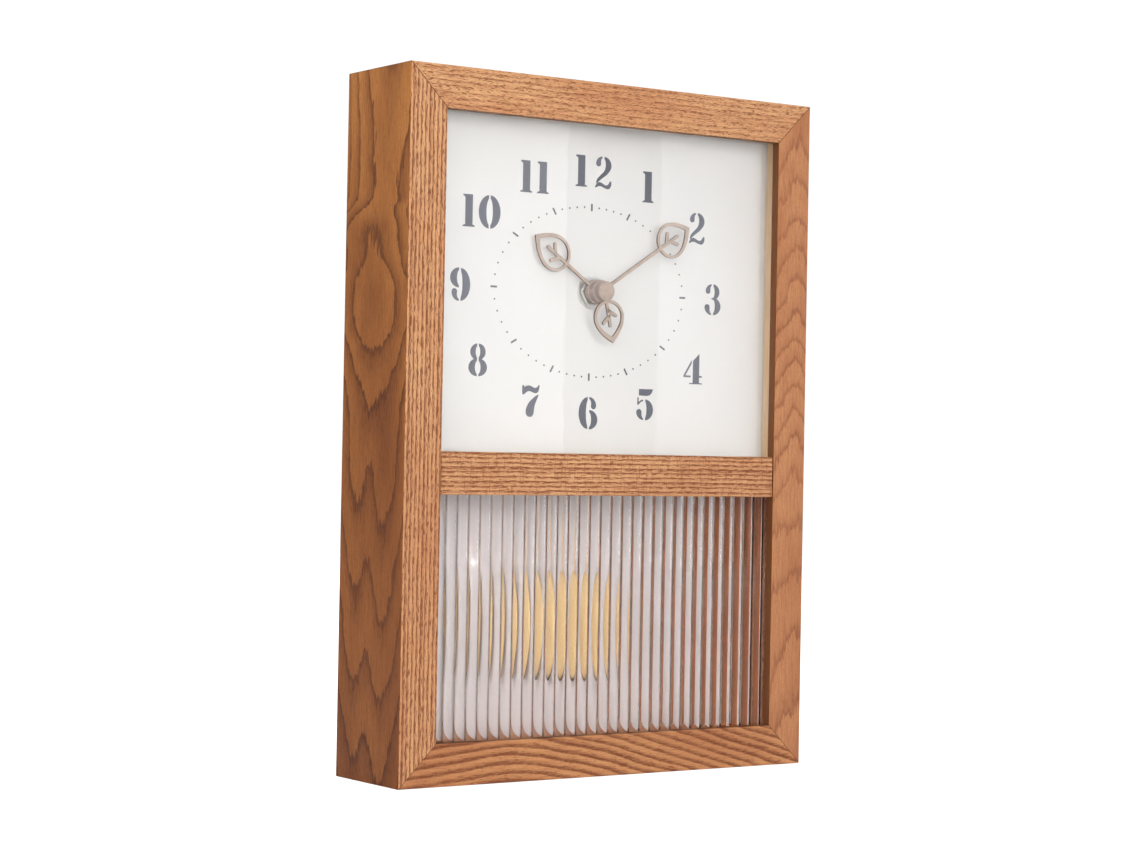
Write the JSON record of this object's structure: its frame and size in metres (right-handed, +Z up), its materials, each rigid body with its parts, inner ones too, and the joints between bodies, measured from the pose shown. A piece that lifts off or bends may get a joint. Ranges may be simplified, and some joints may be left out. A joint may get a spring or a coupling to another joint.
{
  "type": "mantel clock",
  "caption": "Wooden box clock with a glazed dial, leaf-shaped hands, a reeded glass lower window and a swinging brass pendulum.",
  "frame": {"origin": "middle of the underside's bounding box, on the surface that the clock stands on", "axes": "+Z up, +Y from the dial towards the back, +X to the right seen from the front"},
  "size_m": [0.23, 0.056, 0.324],
  "materials": {
    "oiled_ash": "oiled ash, brown, open grain",
    "pale_wood": "plain pale wood",
    "dial_glass": "clear flat glass",
    "reeded_glass": "clear reeded glass",
    "dial_face": "printed off-white sheet",
    "dial_print": "printed grey",
    "panel_white": "white faced board",
    "hand_metal": "rose grey satin metal",
    "chrome": "bright plated",
    "brass": "brushed brass",
    "steel": "plain steel",
    "black_plastic": "moulded black",
    "white_plastic": "moulded white",
    "copper_winding": "enamelled wire",
    "board_green": "lacquered circuit board",
    "magnet_grey": "sintered magnet",
    "battery_sleeve": "printed steel can with no marks"
  },
  "bodies": {
    "case": {"back_panel": "panel_white", "back_screw_lower_left": "steel", "back_screw_lower_right": "steel", "back_screw_upper_left": "steel", "back_screw_upper_right": "steel", "battery": "battery_sleeve", "battery_contact_negative": "steel", "battery_contact_positive": "steel", "bottom_board": "oiled_ash", "circuit_board": "board_green", "compartment_floor": "oiled_ash", "corner_block_lower_left": "pale_wood", "corner_block_lower_right": "pale_wood", "corner_block_upper_left": "pale_wood", "corner_block_upper_right": "pale_wood", "dial_block_left": "pale_wood", "dial_block_right": "pale_wood", "dial_glass": "dial_glass", "dial_nut": "chrome", "dial_panel": "dial_face", "dial_spacer_bottom": "pale_wood", "dial_spacer_left": "pale_wood", "dial_spacer_right": "pale_wood", "dial_spacer_top": "pale_wood", "dial_washer": "chrome", "drive_coil": "copper_winding", "glass_bead_bottom": "oiled_ash", "glass_bead_left": "oiled_ash", "glass_bead_right": "oiled_ash", "glass_bead_top": "oiled_ash", "left_side_board": "oiled_ash", "middle_rail": "oiled_ash", "movement_back_cover": "black_plastic", "movement_front_cover": "black_plastic", "pendulum_coil": "copper_winding", "pendulum_pivot_pin": "steel", "reeded_glass": "reeded_glass", "right_side_board": "oiled_ash", "stator": "steel", "threaded_bushing": "brass", "top_board": "oiled_ash"},
    "second_hand_train": {"second_hand": "hand_metal", "second_wheel": "white_plastic"},
    "intermediate": {"intermediate_wheel": "white_plastic"},
    "rotor": {"rotor": "magnet_grey"},
    "third": {"third_wheel": "white_plastic"},
    "minute_hand_train": {"minute_hand": "hand_metal", "centre_wheel": "white_plastic"},
    "motion_work": {"minute_wheel": "white_plastic", "setting_knob": "white_plastic"},
    "hour_hand_train": {"hour_hand": "hand_metal", "hour_wheel": "white_plastic"},
    "pendulum": {"pendulum_lever": "white_plastic", "pendulum_magnet": "magnet_grey", "pendulum_rod": "brass", "pendulum_bob": "brass"}
  },
  "joints": [
    {"name": "second_hand_spin", "type": "hinge", "parent": "case", "child": "second_hand_train", "pos_m": [0, 0, 0.2274], "axis": [0, 1, 0], "continuous": true},
    {"name": "intermediate_spin", "type": "hinge", "parent": "case", "child": "intermediate", "pos_m": [0.00636, 0, 0.23376], "axis": [0, 1, 0], "continuous": true},
    {"name": "rotor_spin", "type": "hinge", "parent": "case", "child": "rotor", "pos_m": [0.01476, 0, 0.23376], "axis": [0, 1, 0], "continuous": true},
    {"name": "third_spin", "type": "hinge", "parent": "case", "child": "third", "pos_m": [-0.01148, 0, 0.2274], "axis": [0, 1, 0], "continuous": true},
    {"name": "minute_hand_spin", "type": "hinge", "parent": "case", "child": "minute_hand_train", "pos_m": [0, 0, 0.2274], "axis": [0, 1, 0], "continuous": true},
    {"name": "motion_work_spin", "type": "hinge", "parent": "case", "child": "motion_work", "pos_m": [0.01128, 0, 0.2233], "axis": [0, 1, 0], "continuous": true},
    {"name": "hour_hand_spin", "type": "hinge", "parent": "case", "child": "hour_hand_train", "pos_m": [0, 0, 0.2274], "axis": [0, 1, 0], "continuous": true},
    {"name": "pendulum_swing", "type": "hinge", "parent": "case", "child": "pendulum", "pos_m": [0, 0, 0.189], "axis": [0, 1, 0], "range_deg": [-8, 8]}
  ],
  "couplings": [
    {"joint": "intermediate_spin", "follows": "second_hand_spin", "ratio": -5},
    {"joint": "rotor_spin", "follows": "second_hand_spin", "ratio": 30},
    {"joint": "third_spin", "follows": "second_hand_spin", "ratio": -0.13333},
    {"joint": "minute_hand_spin", "follows": "second_hand_spin", "ratio": 0.016667},
    {"joint": "motion_work_spin", "follows": "second_hand_spin", "ratio": -0.0055556},
    {"joint": "hour_hand_spin", "follows": "second_hand_spin", "ratio": 0.0013889}
  ]
}
